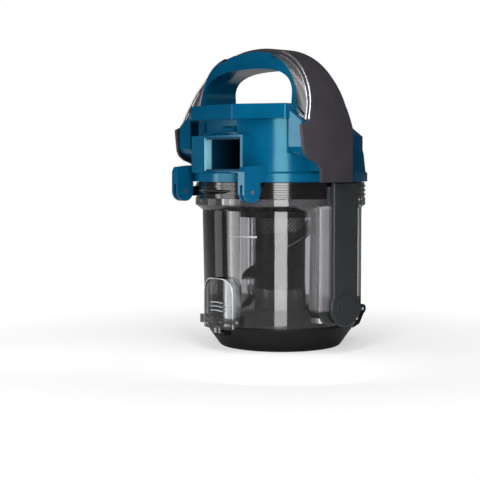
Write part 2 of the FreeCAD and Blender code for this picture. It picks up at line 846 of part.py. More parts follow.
def make_housing():
    """Blue cover: drum with the port, the shoulders under the handle and the two hinge ears."""
    housing = body("upper_housing")
    revolve(
        housing,
        "drum",
        [
            (0, d.cover_bottom),
            (d.cover_radius, d.cover_bottom),
            (d.cover_radius, d.cover_bottom + 7),
            (d.cover_radius - 1.6, d.cover_bottom + 8.6),
            (d.cover_radius - 3.2, 165),
            (d.cover_radius - 4.2, 169),
            (d.cover_radius - 4.2, d.cover_shoulder),
            (d.cover_radius - 12.5, d.cover_top - 4.5),
            (48, d.cover_top),
            (0, d.cover_top),
        ],
    )
    # Rear wall under the deck.
    neck = rectangle(-58, -68, 58, -2)
    extrude(housing, "neck", "XY_Plane", [neck], d.deck_bottom - 170 - 0.1, offset=170.0)
    wall_radius = d.cover_radius - 4.2
    outer_ring = [(wall_radius, 169.5), (130, 169.5), (130, 230), (wall_radius, 230)]
    revolve(housing, "neck_round", outer_ring, cut=True)
    # Shoulders that carry the handle's feet, stepped back above for the silver trims.
    inner_face = d.handle_half - d.handle_wall - 0.1
    shoulder_start = 64.2
    rear = -d.deck_side_rear + 0.6
    shoulder = [
        (rear, 170),
        (rear + 3.4, 166),
        (-30, 159),
        (-29, d.cover_bottom + 9),
        (9, d.cover_bottom + 9),
        (3, d.deck_bottom - 6),
        (-1.8, d.deck_top - 0.1),
        (-36.0, d.deck_top - 0.1),
        (-41.6, 190.0),
        (rear, 189.0),
    ]
    lip = [(shoulder_start, 186), (inner_face - 0.3, 186), (inner_face - 0.9, 190.2), (shoulder_start, 199.6)]
    crown = [(80.0, 180), (79.2, 189), (77.2, 199), (75.4, 206), (95, 206), (95, 180)]
    for side, sign in SIDES:
        start = shoulder_start if sign > 0 else -inner_face.value
        depth = inner_face - shoulder_start
        extrude(housing, f"shoulder_{side}", "YZ_Plane", [shoulder], depth, offset=start)
        lip_outline = [(across * sign, up) for across, up in lip]
        extrude(housing, f"shoulder_lip_{side}", "XZ_Plane", [lip_outline], 4.4, offset=44.6)
        crown_outline = [(across * sign, up) for across, up in crown]
        extrude(housing, f"crown_room_{side}", "XZ_Plane", [crown_outline], 160, middle=True, cut=True)
        eyes = [(-8.0, height, 1.64) for height in HANDLE_SCREW_HEIGHTS]
        face = 84.0 * sign
        inward = sign < 0
        extrude(housing, f"screw_eyes_{side}", "YZ_Plane", [], 8.2, face, circles=eyes, cut=True, flip=inward)
    # Port frame on the rear.
    frame = rectangle(d.port_frame_left, d.port_bottom, d.port_frame_right, d.port_top)
    extrude(housing, "port_frame", "XZ_Plane", [frame], 25, offset=d.port_face.value - 25)
    make_ears(housing)
    # Inside of the drum, from below.
    wall = d.cover_wall
    revolve(
        housing,
        "drum_inside",
        [
            (0, d.cover_bottom - 1),
            (d.cover_radius - 4.6, d.cover_bottom - 1),
            (d.cover_radius - 4.6, 166),
            (d.cover_radius - 4.6 - wall, d.cover_shoulder - 1),
            (d.cover_radius - 13.4 - wall, d.cover_top - 6.5),
            (44, d.cover_top - wall),
            (0, d.cover_top - wall),
        ],
        cut=True,
    )
    opening = rectangle(d.port_left, d.port_bottom + 1.6, d.port_right, d.port_top - 1.6)
    extrude(housing, "port_opening", "XZ_Plane", [opening], 40, offset=80.0, cut=True, flip=False)
    # Recess with a keeper above the port, where the machine's catch takes hold.
    recess = rectangle(-21, 182.6, 22, 191.6)
    extrude(housing, "catch_recess", "XZ_Plane", [recess], 14.5, offset=80.0, cut=True, flip=False)
    keeper = [(-66.5, 183.0), (-69.6, 183.0), (-68.6, 186.0), (-65.5, 187.6), (-62, 187.6), (-62, 183.0)]
    extrude(housing, "keeper", "YZ_Plane", [keeper], 15, offset=4.0)
    return housing


def make_ears(housing):
    """Two forked ears that hang over the filter frame's lugs."""
    ear_width = d.ear_outer - d.ear_inner
    for side, sign in SIDES:
        start = d.ear_inner.value if sign > 0 else -d.ear_outer.value
        rear = -d.ear_pivot_reach - d.ear_radius
        block_outline = [
            (rear, d.ear_pivot_height),
            (-d.ear_pivot_reach + d.ear_radius, d.ear_pivot_height),
            (-d.ear_pivot_reach + d.ear_radius, d.cover_bottom),
            (-56, d.cover_bottom + 0.1),
            (-56, 153.5),
            (-66, 155.4),
            (rear + 2, 154.0),
            (rear, 150.0),
        ]
        extrude(housing, f"ear_{side}", "YZ_Plane", [block_outline], ear_width, offset=start)
        tip = (-d.ear_pivot_reach, d.ear_pivot_height, d.ear_radius)
        extrude(housing, f"ear_tip_{side}", "YZ_Plane", [], ear_width, offset=start, circles=[tip])
        slot_half = 1.45
        slot_middle = (d.ear_inner.value + d.ear_outer.value) / 2 * sign
        slot = rectangle(-90, 122, -62.5, 139.4)
        extrude(
            housing,
            f"ear_slot_{side}",
            "YZ_Plane",
            [slot],
            slot_half * 2,
            offset=slot_middle + slot_half,
            cut=True,
        )
    eye = (-d.ear_pivot_reach, d.ear_pivot_height, 1.82)
    extrude(housing, "ear_eyes", "YZ_Plane", [], 120, circles=[eye], middle=True, cut=True)


def make_cover_fittings():
    """Hinge pins, the duct behind the port and the deck."""
    pins = []
    for side, sign in SIDES:
        middle = (d.ear_inner.value + d.ear_outer.value) / 2
        place = Vector(sign * middle, -d.ear_pivot_reach.value, d.ear_pivot_height.value)
        pins.append(rod(f"cover_pin_{side}", 1.8, 8.6, place, X_AXIS))
    group("cover_hinge_pins", pins)

    duct = body("port_duct")
    low, high = d.port_bottom + 1.7, d.port_top - 1.7
    left, right = d.port_left + 0.1, d.port_right - 0.1
    outer = rectangle(left, low, right, high)
    extrude(duct, "duct_outside", "XZ_Plane", [outer], 34, offset=36.0)
    wall = 1.5
    bore = [
        (left + wall, low + wall),
        (right - wall, low + wall),
        (right - wall, high - wall),
        (left + wall, high - wall),
    ]
    extrude(duct, "duct_bore", "XZ_Plane", [bore], 40, offset=75.0, cut=True, flip=False)

    deck = body("deck")
    outline = [
        (-d.deck_rear_half, -d.deck_rear),
        (d.deck_rear_half, -d.deck_rear),
        (d.deck_side_half, -d.deck_side_rear - 1.5),
        (d.deck_side_half, -d.deck_side_rear + 5.5),
        (63.9, -38),
        (63.9, 2),
        (-63.9, 2),
        (-63.9, -38),
        (-d.deck_side_half, -d.deck_side_rear + 5.5),
        (-d.deck_side_half, -d.deck_side_rear - 1.5),
    ]
    extrude(deck, "shelf", "XY_Plane", [outline], d.deck_top - d.deck_bottom, offset=d.deck_bottom.value)

    def rear_upright(middle):
        return middle.y < -40

    round_edges(deck, "shelf_corners", 3.0, straight_along("z", rear_upright))
    top = d.deck_top.value

    def top_rear(edge):
        middle = edge.CenterOfMass
        return abs(middle.z - top) < 0.05 and middle.y < -42

    round_edges(deck, "shelf_top", 1.8, top_rear)


# ---------------------------------------------------------------- handle


def arch_points(half, rise, spring, power, count=14):
    """Points of an arch from the right foot over the top to the left foot, as a power curve."""
    points = []
    for index in range(count * 2 + 1):
        angle = math.pi / 2 * index / count
        across = math.cos(angle)
        up = math.sin(angle)
        x = half * math.copysign(abs(across) ** (2.0 / power), across)
        z = spring + rise * abs(up) ** (2.0 / power)
        points.append(Vector(x, 0, z))
    return points


def arch_solid(half, rise, spring, power, low):
    """The arch filled down to a level, as a solid wide enough to be trimmed in Y."""
    points = arch_points(half, rise, spring, power)
    crown = Part.BSplineCurve()
    crown.interpolate(points)
    right, left = points[0], points[-1]
    edges = [
        crown.toShape(),
        Part.makeLine(left, Vector(left.x, 0, low)),
        Part.makeLine(Vector(left.x, 0, low), Vector(right.x, 0, low)),
        Part.makeLine(Vector(right.x, 0, low), right),
    ]
    face = Part.Face(Part.Wire(edges))
    face.translate(Vector(0, -120, 0))
    return face.extrude(Vector(0, 240, 0))


def band_edge(side):
    """Height and Y of the handle's rear or front edge, from the foot to the crown."""
    if side == "rear":
        foot = [(187.0, -52.0), (190.0, -44.5)]
        return foot + [(206.0, -38.7), (220.0, -34.8), (233.0, -31.0), (245.0, -27.5), (258.0, -24.0)]
    return [(141.5, 11.0), (186.0, 4.4), (204.0, -0.5), (214.0, -1.8), (227.0, -3.6), (258.0, -5.0)]


def band_side(rear, front_inset=0.0):
    """The band between a rear edge and the front edge, as a solid wide enough to be trimmed in X."""
    low = rear[0][0]
    front = [(z, y - front_inset) for z, y in band_edge("front") if z > low]
    front = [(low, front[0][1])] + front
    outline = [Vector(-120, y, z) for z, y in rear] + [Vector(-120, y, z) for z, y in reversed(front)]
    face = Part.Face(Part.makePolygon(outline + outline[:1]))
    return face.extrude(Vector(240, 0, 0))


def rear_reach(height):
    """Y of the handle's rear edge at a height, between the points of its outline."""
    edge = band_edge("rear")
    if height < edge[0][0]:
        return edge[0][1]
    for (low, low_y), (high, high_y) in zip(edge, edge[1:]):
        if height <= high:
            return low_y + (high_y - low_y) * (height - low) / (high - low)
    return edge[-1][1]


def make_handle():
    """Grey band over the top, the blue lining inside it and the silver crescents on its rear face."""
    half, rise, spring = d.handle_half.value, d.handle_rise.value, d.handle_spring.value
    wall = d.handle_wall.value
    outer = arch_solid(half, rise, spring, HANDLE_POWER, 120)
    inner = arch_solid(half - wall, rise - wall, spring, HANDLE_POWER, 100)
    foot_rear = [(141.5, -30.0), (151.0, -30.0), (157.0, -34.0)]
    foot_rear += [(160.0, -42.5), (163.5, -47.4), (168.0, -49.8)]
    shell = outer.cut(inner).common(band_side(foot_rear + band_edge("rear")))
    solid("handle_shell", shell)

    gap = 0.1
    reach = -d.ridge_reach.value
    lining_low = d.deck_top.value + 0.1
    lining_rear = [(lining_low, reach - 0.7), (215.0, reach), (241.0, reach), (258.0, reach + 8.0)]
    grip_outer = arch_solid(half - wall - gap, rise - wall - gap, spring, HANDLE_POWER, 150)
    finger_space = arch_solid(d.grip_half.value, d.grip_rise.value, d.grip_spring.value, GRIP_POWER, 120)
    lining = grip_outer.cut(finger_space).common(band_side(lining_rear, front_inset=1.2))
    behind = slanted_layer(-30.0, 0.0, 3.0)
    lining = lining.cut(behind)
    solid("handle_grip", make_trims(lining))


def slanted_layer(near, far, extra=0.0):
    """Layer on the slant from the shell's rear edge to the grip's ridge.

    near and far shift its two faces forwards and towards the middle of the handle,
    and extra makes it wider at its outer edge.
    """
    wall = d.handle_wall.value + 0.15
    half, rise, spring = d.handle_half.value, d.handle_rise.value, d.handle_spring.value
    edge = arch_points(half - wall, rise - wall, spring, HANDLE_POWER)
    ridge = arch_points(d.ridge_half.value, d.ridge_rise.value, d.ridge_spring.value, RIDGE_POWER)
    middle = Vector(0, 0, spring)
    sections = []
    for outer, inner in zip(edge, ridge):
        inward = (middle - outer).normalize()
        outer = Vector(outer.x, rear_reach(outer.z), outer.z)
        inner = Vector(inner.x, -d.ridge_reach.value, inner.z)
        outer = outer + (outer - inner).normalize() * extra
        corners = [
            outer + Y_AXIS * near + inward * near * 0.5,
            inner + Y_AXIS * near + inward * near * 0.5,
            inner + Y_AXIS * far + inward * far * 0.5,
            outer + Y_AXIS * far + inward * far * 0.5,
        ]
        sections.append(Part.makePolygon(corners + corners[:1]))
    return Part.makeLoft(sections, True, True)


def make_trims(lining):
    """Silver crescents let into the slanted rear face; returns the lining with their seats."""
    layer = slanted_layer(0.0, 2.0)
    seats = slanted_layer(-1.0, 2.0, 3.0)
    for side, sign in SIDES:
        # The lower end is cut on a slant, and the upper end stops beside the crown.
        tip = [(29, 300), (120, 300), (120, 170), (81, 190), (54, 206), (29, 206)]
        corners = [Vector(sign * across, 0, up) for across, up in tip]
        window = Part.Face(Part.makePolygon(corners + corners[:1]))
        window.translate(Vector(0, -120, 0))
        deck_room = block(Vector(-64.3, -60, 150), Vector(64.3, 20, d.deck_top.value + 0.1))
        window = window.extrude(Vector(0, 240, 0))
        piece = layer.common(window).cut(deck_room)
        solids = sorted(piece.Solids, key=lambda part: part.Volume)
        trim = solids[-1]
        solid(f"trim_{side}", trim)
        lining = lining.cut(seats.common(window))
    return max(lining.Solids, key=lambda part: part.Volume)


def make_handle_screws():
    """Screws through the handle's feet into the shoulders."""
    screws = []
    for side, sign in SIDES:
        for index, height in enumerate(HANDLE_SCREW_HEIGHTS):
            place = Vector(sign * 78.0, -8.0, height)
            screws.append(rod(f"handle_screw_{side}_{index}", 1.6, 4.0, place, X_AXIS))
    group("handle_screws", screws)


# ---------------------------------------------------------------- front catch of the cover


def latch_pivot():
    """Where the catch's pin crosses the plane X = 0."""
    return Vector(0, 78.2, 149.0)


def make_cover_latch():
    """Catch on the front of the cover, its pin and its spring."""
    latch = body("cover_latch")
    lever = [
        (78.0, 134.0),
        (80.2, 133.0),
        (81.4, 136.0),
        (81.4, 158.0),
        (80.2, 160.0),
        (79.0, 160.0),
        (79.0, 139.0),
        (78.0, 137.4),
    ]
    pivot = latch_pivot()
    width = 24
    spring_half = 4.0
    extrude(latch, "lever", "YZ_Plane", [lever], width, middle=True)
    extrude(latch, "lever_hub", "YZ_Plane", [], width, circles=[(pivot.y, pivot.z, 2.4)], middle=True)
    extrude(latch, "lever_eye", "YZ_Plane", [], 40, circles=[(pivot.y, pivot.z, 1.26)], middle=True, cut=True)
    room = (pivot.y, pivot.z, 2.5)
    width = spring_half * 2 + 0.6
    extrude(latch, "spring_room", "YZ_Plane", [], width, circles=[room], middle=True, cut=True)
    keep(rod("latch_pin", 1.2, 31, pivot, X_AXIS), "latch_pin")
    make_coil("latch_spring", pivot, spring_half)


def add_latch_ears(housing):
    """Ears on the front of the cover that hold the catch's pin."""
    pivot = latch_pivot()
    for side, sign in SIDES:
        near, far = (12.4, 15.4) if sign > 0 else (-15.4, -12.4)
        ear = [(70.5, 143.0), (74.0, 143.0), (81.0, 146.5), (81.0, 151.5), (74.0, 155.0), (70.5, 155.0)]
        extrude(housing, f"latch_ear_{side}", "YZ_Plane", [ear], far - near, offset=near)
    eye = (pivot.y, pivot.z, 1.23)
    extrude(housing, "latch_eye", "YZ_Plane", [], 60, circles=[eye], middle=True, cut=True)


# ---------------------------------------------------------------- build and write


def check_document():
    """Stop if any object failed or any sub-part is empty or broken."""
    doc.recompute()
    for item in doc.Objects:
        if "Invalid" in item.State or "Error" in item.State:
            raise RuntimeError(f"{item.Name} has state {item.State}")
    for part in parts:
        if part.Shape.isNull() or not part.Shape.isValid() or part.Shape.Volume <= 0:
            raise RuntimeError(f"{part.Label} has no valid solid")


def write_parts():
    """Write every sub-part to its own STEP file."""
    os.makedirs("parts", exist_ok=True)
    for part in parts:
        part.Shape.exportStep(f"parts/{part.Label}.step")
        print(f"{part.Label}: {len(part.Shape.Solids)} solid, {part.Shape.Volume / 1000.0:.2f} cm3")


make_lid()
make_lid_fittings()
make_bin()
make_columns()
make_lid_hinge_bracket()
make_button()
make_separator()
make_filter_frame()
make_filter()
upper_housing = make_housing()
add_latch_ears(upper_housing)
make_cover_fittings()
make_handle()
make_handle_screws()
make_cover_latch()
check_document()
write_parts()
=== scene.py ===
"""Looks of the cyclonic dust container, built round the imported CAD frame. Lengths are in metres."""

import json
import math

import bmesh
import bpy
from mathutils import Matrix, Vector


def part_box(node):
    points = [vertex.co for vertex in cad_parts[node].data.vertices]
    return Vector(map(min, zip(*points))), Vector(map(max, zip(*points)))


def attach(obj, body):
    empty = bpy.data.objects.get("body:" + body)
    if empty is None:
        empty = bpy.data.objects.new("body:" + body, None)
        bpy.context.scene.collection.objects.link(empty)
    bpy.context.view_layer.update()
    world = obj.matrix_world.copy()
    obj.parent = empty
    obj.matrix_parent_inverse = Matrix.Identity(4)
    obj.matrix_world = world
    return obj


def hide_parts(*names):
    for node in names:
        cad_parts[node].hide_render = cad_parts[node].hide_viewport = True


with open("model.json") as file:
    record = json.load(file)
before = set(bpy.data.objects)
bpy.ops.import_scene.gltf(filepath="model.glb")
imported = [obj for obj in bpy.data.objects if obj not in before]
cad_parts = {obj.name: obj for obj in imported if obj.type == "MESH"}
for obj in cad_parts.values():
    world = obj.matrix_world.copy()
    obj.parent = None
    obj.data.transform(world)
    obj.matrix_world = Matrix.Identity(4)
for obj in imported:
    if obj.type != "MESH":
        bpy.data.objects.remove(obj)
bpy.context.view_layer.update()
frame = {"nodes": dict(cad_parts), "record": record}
NODES = frame["nodes"]
MM = 0.001
CAMERA_HEADING = 50.0
LIGHT_LENGTH = 0.62
LIGHT_HEIGHT = 0.30
WHITE = (1.0, 1.0, 1.0, 1.0)


# ---------------------------------------------------------------- camera, floor and light


def make_camera():
    """Camera to the rear right of the container, a little above its middle, looking slightly down."""
    data = bpy.data.cameras.new("photo_camera")
    data.lens = 88.2
    data.sensor_width = 36.0
    data.dof.use_dof = False
    camera = bpy.data.objects.new("photo_camera", data)
    bpy.context.scene.collection.objects.link(camera)
    heading = math.radians(CAMERA_HEADING)
    pitch = math.radians(3.45)
    camera.location = (0.7613, -0.6845, 0.1522)
    camera.rotation_euler = (math.pi / 2 - pitch, 0.0, heading)
    bpy.context.scene.camera = camera


def make_floor():
    """Plain pale floor that runs far behind the container and turns into the backdrop."""
    bpy.ops.mesh.primitive_plane_add(size=30.0, location=(0.0, 0.0, 0.0))
    floor = bpy.context.object
    floor.name = "floor"
    material, tree, output = new_material("floor_white")
    near = tree.nodes.new("ShaderNodeBsdfDiffuse")
    near.inputs["Color"].default_value = (0.80, 0.80, 0.80, 1.0)
    lit = tree.nodes.new("ShaderNodeEmission")
    lit.inputs["Strength"].default_value = 1.0
    place = tree.nodes.new("ShaderNodeTexCoord")
    far = tree.nodes.new("ShaderNodeVectorMath")
    far.operation = "LENGTH"
    tree.links.new(place.outputs["Object"], far.inputs[0])
    fade = spread(tree, far.outputs["Value"], 0.55, 1.0, start=0.07, end=0.30)
    path = tree.nodes.new("ShaderNodeLightPath")
    share = tree.nodes.new("ShaderNodeMath")
    share.operation = "MULTIPLY"
    tree.links.new(fade, share.inputs[0])
    tree.links.new(path.outputs["Is Camera Ray"], share.inputs[1])
    surface = tree.nodes.new("ShaderNodeMixShader")
    tree.links.new(share.outputs["Value"], surface.inputs["Fac"])
    tree.links.new(near.outputs["BSDF"], surface.inputs[1])
    tree.links.new(lit.outputs["Emission"], surface.inputs[2])
    tree.links.new(surface.outputs["Shader"], output.inputs["Surface"])
    floor.data.materials.append(material)


def area_light(name, bearing, reach, height, size, power, aim=(0.0, 0.0, 0.12)):
    """Softbox at a bearing round the container, measured from the camera's own side, facing aim."""
    data = bpy.data.lights.new(name, "AREA")
    data.shape = "RECTANGLE"
    data.size, data.size_y = size
    data.energy = power
    light = bpy.data.objects.new(name, data)
    bpy.context.scene.collection.objects.link(light)
    angle = math.radians(CAMERA_HEADING + bearing)
    place = Vector((reach * math.sin(angle), -reach * math.cos(angle), height))
    light.location = place
    light.rotation_euler = (Vector(aim) - place).to_track_quat("-Z", "Y").to_euler()
    light.visible_camera = False
    return light


def light_only(light, names):
    """Let a light fall on the named CAD nodes only."""
    lit = bpy.data.collections.new("lit_by_" + light.name)
    for name in names:
        lit.objects.link(NODES[name])
    light.light_linking.receiver_collection = lit


def make_lights():
    """Strip in front, boxes left, right and above, a thin accent strip, and a room dim in reflections."""
    ahead = (0.0, 0.0, LIGHT_HEIGHT)
    area_light("strip", -1.0, 0.20, LIGHT_HEIGHT, (0.054, LIGHT_LENGTH), 0.95, ahead)
    area_light("left_box", -66.0, 0.26, LIGHT_HEIGHT, (0.085, LIGHT_LENGTH), 0.55, ahead)
    wing = area_light("left_wing", -100.0, 0.50, LIGHT_HEIGHT, (0.15, LIGHT_LENGTH), 0.45, ahead)
    light_only(wing, ("bin_shell", "release_button", "lid_shell"))
    fill = area_light("right_box", 80.0, 1.5, 0.6, (0.4, 1.2), 3.0)
    fill.visible_glossy = False
    beside = (0.07, 0.0, LIGHT_HEIGHT)
    side = area_light("side_strip", 75.0, 0.50, LIGHT_HEIGHT, (0.16, LIGHT_LENGTH), 0.65, beside)
    light_only(side, ("bin_shell",))
    top = area_light("top_box", 20.0, 0.3, 1.6, (1.2, 1.2), 10.0)
    top.visible_glossy = False
    accent = area_light("accent", -85.0, 0.366, 0.14, (0.05, 0.34), 0.30, (0.07, -0.04, 0.14))
    light_only(accent, ("upper_housing", "handle_shell", "side_column_right", "filter_frame"))
    world = bpy.data.worlds.new("room")
    world.use_nodes = True
    tree = world.node_tree
    path = tree.nodes.new("ShaderNodeLightPath")
    room = tree.nodes["Background"]
    room.inputs["Color"].default_value = WHITE
    room.inputs["Strength"].default_value = 0.24
    mirrored = tree.nodes.new("ShaderNodeBackground")
    mirrored.inputs["Strength"].default_value = 0.03
    backdrop = tree.nodes.new("ShaderNodeBackground")
    backdrop.inputs["Color"].default_value = WHITE
    backdrop.inputs["Strength"].default_value = 1.0
    dim = tree.nodes.new("ShaderNodeMixShader")
    tree.links.new(path.outputs["Is Glossy Ray"], dim.inputs["Fac"])
    tree.links.new(room.outputs["Background"], dim.inputs[1])
    tree.links.new(mirrored.outputs["Background"], dim.inputs[2])
    seen = tree.nodes.new("ShaderNodeMixShader")
    tree.links.new(path.outputs["Is Camera Ray"], seen.inputs["Fac"])
    tree.links.new(dim.outputs["Shader"], seen.inputs[1])
    tree.links.new(backdrop.outputs["Background"], seen.inputs[2])
    tree.links.new(seen.outputs["Shader"], tree.nodes["World Output"].inputs["Surface"])
    bpy.context.scene.world = world
    bpy.context.scene.view_settings.view_transform = "Standard"


# ---------------------------------------------------------------- materials

# How often the plastic's surface grain, its uneven gloss and its uneven tone repeat in a metre.
GRAIN, PATCHES, TONES = 1600.0, 160.0, 45.0
# Where the bin's outer skin of the bulges, their rear ends, the smoked foot and the flange begin.
SKIN_START, FLANK_START = (0.0738, 0.0746), (0.0612, 0.0628)
SKIN_BEHIND, FLANK_BEHIND = (-0.0100, -0.0090), (-0.0225, -0.0205)
FOOT_TOP, FLANGE_START = (0.0355, 0.0375), (0.1205, 0.1225)


def new_material(name):
    """An empty node material with its tree and output."""
    material = bpy.data.materials.new(name)
    material.use_nodes = True
    tree = material.node_tree
    tree.nodes.clear()
    output = tree.nodes.new("ShaderNodeOutputMaterial")
    return material, tree, output


def noise(tree, scale, detail=3.0, roughness=0.5):
    """Noise in the piece's own coordinates, so that it stays with the piece when a body moves."""
    place = tree.nodes.new("ShaderNodeTexCoord")
    node = tree.nodes.new("ShaderNodeTexNoise")
    node.inputs["Scale"].default_value = scale
    node.inputs["Detail"].default_value = detail
    node.inputs["Roughness"].default_value = roughness
    tree.links.new(place.outputs["Object"], node.inputs["Vector"])
    return node.outputs["Fac"]


def spread(tree, value, low, high, start=0.3, end=0.7):
    """A value stretched from start..end to low..high."""
    node = tree.nodes.new("ShaderNodeMapRange")
    node.inputs["From Min"].default_value = start
    node.inputs["From Max"].default_value = end
    node.inputs["To Min"].default_value = low
    node.inputs["To Max"].default_value = high
    tree.links.new(value, node.inputs["Value"])
    return node.outputs["Result"]


def two_tone(tree, value, dark, light):
    """Colour between two tones by a value from 0 to 1."""
    ramp = tree.nodes.new("ShaderNodeValToRGB")
    ramp.color_ramp.elements[0].position = 0.3
    ramp.color_ramp.elements[1].position = 0.7
    ramp.color_ramp.elements[0].color = (*dark, 1.0)
    ramp.color_ramp.elements[1].color = (*light, 1.0)
    tree.links.new(value, ramp.inputs["Fac"])
    return ramp.outputs["Color"]


def moulded(name, colour, roughness, relief=0.02, shift=0.12, metallic=0.0, shine=0.5, glint=WHITE[:3]):
    """Moulded plastic or lacquer: fine surface grain, slightly uneven gloss and tone."""
    material, tree, output = new_material(name)
    shader = tree.nodes.new("ShaderNodeBsdfPrincipled")
    dark = [part * (1.0 - shift) for part in colour]
    light = [min(1.0, part * (1.0 + shift)) for part in colour]
    tree.links.new(two_tone(tree, noise(tree, TONES), dark, light), shader.inputs["Base Color"])
    uneven = spread(tree, noise(tree, PATCHES), roughness * 0.88, roughness * 1.12)
    tree.links.new(uneven, shader.inputs["Roughness"])
    shader.inputs["Metallic"].default_value = metallic
    shader.inputs["Specular IOR Level"].default_value = shine
    shader.inputs["Specular Tint"].default_value = (*glint, 1.0)
    bump = tree.nodes.new("ShaderNodeBump")
    bump.inputs["Strength"].default_value = relief
    bump.inputs["Distance"].default_value = 0.0004
    tree.links.new(noise(tree, GRAIN, detail=2.0), bump.inputs["Height"])
    tree.links.new(bump.outputs["Normal"], shader.inputs["Normal"])
    tree.links.new(shader.outputs["BSDF"], output.inputs["Surface"])
    return material


def maths(tree, operation, *values):
    """A maths node over sockets and plain numbers."""
    node = tree.nodes.new("ShaderNodeMath")
    node.operation = operation
    for slot, value in enumerate(values):
        if isinstance(value, (int, float)):
            node.inputs[slot].default_value = value
        else:
            tree.links.new(value, node.inputs[slot])
    return node.outputs["Value"]


def band(tree, value, edges, low, high):
    """A value that goes from low to high between two edges."""
    return spread(tree, value, low, high, start=edges[0], end=edges[1])


def bin_haze(tree, cloudy, milky_edges):
    """Haze of the bin at each point, and the share of its smoked foot."""
    place = tree.nodes.new("ShaderNodeTexCoord")
    axes = tree.nodes.new("ShaderNodeSeparateXYZ")
    tree.links.new(place.outputs["Object"], axes.inputs[0])
    aside = maths(tree, "ABSOLUTE", axes.outputs["X"])
    foot = band(tree, axes.outputs["Z"], FOOT_TOP, 1.0, 0.0)
    above = maths(tree, "SUBTRACT", 1.0, foot)
    below = band(tree, axes.outputs["Z"], FLANGE_START, 1.0, 0.0)
    wall = maths(tree, "MULTIPLY", above, below)
    skin = band(tree, aside, SKIN_START, 0.0, 1.0)
    skin = maths(tree, "MULTIPLY", skin, band(tree, axes.outputs["Y"], SKIN_BEHIND, 1.0, 0.0))
    cloudy = maths(tree, "MULTIPLY_ADD", maths(tree, "MULTIPLY", skin, wall), milky_edges, cloudy)
    flank = band(tree, aside, FLANK_START, 0.0, 0.16)
    flank = maths(tree, "MULTIPLY", flank, band(tree, axes.outputs["Y"], FLANK_BEHIND, 1.0, 0.0))
    cloudy = maths(tree, "ADD", cloudy, maths(tree, "MULTIPLY", flank, wall))
    cloudy = maths(tree, "ADD", cloudy, band(tree, axes.outputs["Z"], FLANGE_START, 0.0, 0.07))
    return maths(tree, "MULTIPLY_ADD", foot, 0.028, cloudy), foot


def tinted(tree, factor, colour, other):
    """A mix of two colours, where the first may be a socket."""
    node = tree.nodes.new("ShaderNodeMix")
    node.data_type = "RGBA"
    tree.links.new(factor, node.inputs["Factor"])
    if isinstance(colour, tuple):
        node.inputs["A"].default_value = (*colour, 1.0)
    else:
        tree.links.new(colour, node.inputs["A"])
    node.inputs["B"].default_value = (*other, 1.0)
    return node.outputs["Result"]


def clear(name, tint, haze, haze_colour, gloss=1.0, milky_edges=0.0):
    """Thin clear plastic: light passes straight through, tinted, with haze and mirror-like gloss.

    It darkens where it is seen at a slant. milky_edges is the haze on the bulges' outer skin, and with
    it come hazy rear ends of the bulges, a foot that is smoked darker and a slightly hazy flange.
    """
    material, tree, output = new_material(name)
    through = tree.nodes.new("ShaderNodeBsdfTransparent")
    edge = tree.nodes.new("ShaderNodeLayerWeight")
    edge.inputs["Blend"].default_value = 0.5
    slant = spread(tree, edge.outputs["Facing"], 0.0, 1.0, start=0.22, end=0.60)
    through_colour = tinted(tree, slant, tint, [part * 0.50 for part in tint])
    cloudy = spread(tree, noise(tree, 60.0), haze * 0.8, haze * 1.2)
    if milky_edges:
        cloudy, foot = bin_haze(tree, cloudy, milky_edges)
        smoke = maths(tree, "MULTIPLY", foot, 0.9)
        through_colour = tinted(tree, smoke, through_colour, [part * 0.45 for part in tint])
    body = tree.nodes.new("ShaderNodeBsdfDiffuse")
    body.inputs["Color"].default_value = (*haze_colour, 1.0)
    cloud = tree.nodes.new("ShaderNodeMixShader")
    tree.links.new(through_colour, through.inputs["Color"])
    tree.links.new(cloudy, cloud.inputs["Fac"])
    tree.links.new(through.outputs["BSDF"], cloud.inputs[1])
    tree.links.new(body.outputs["BSDF"], cloud.inputs[2])
    mirror = tree.nodes.new("ShaderNodeBsdfGlossy")
    mirror.inputs["Color"].default_value = (gloss, gloss, gloss, 1.0)
    mirror.inputs["Roughness"].default_value = 0.05
    fresnel = tree.nodes.new("ShaderNodeFresnel")
    fresnel.inputs["IOR"].default_value = 1.45
    surface = tree.nodes.new("ShaderNodeMixShader")
    tree.links.new(fresnel.outputs["Fac"], surface.inputs["Fac"])
    tree.links.new(cloud.outputs["Shader"], surface.inputs[1])
    tree.links.new(mirror.outputs["BSDF"], surface.inputs[2])
    tree.links.new(surface.outputs["Shader"], output.inputs["Surface"])
    return material


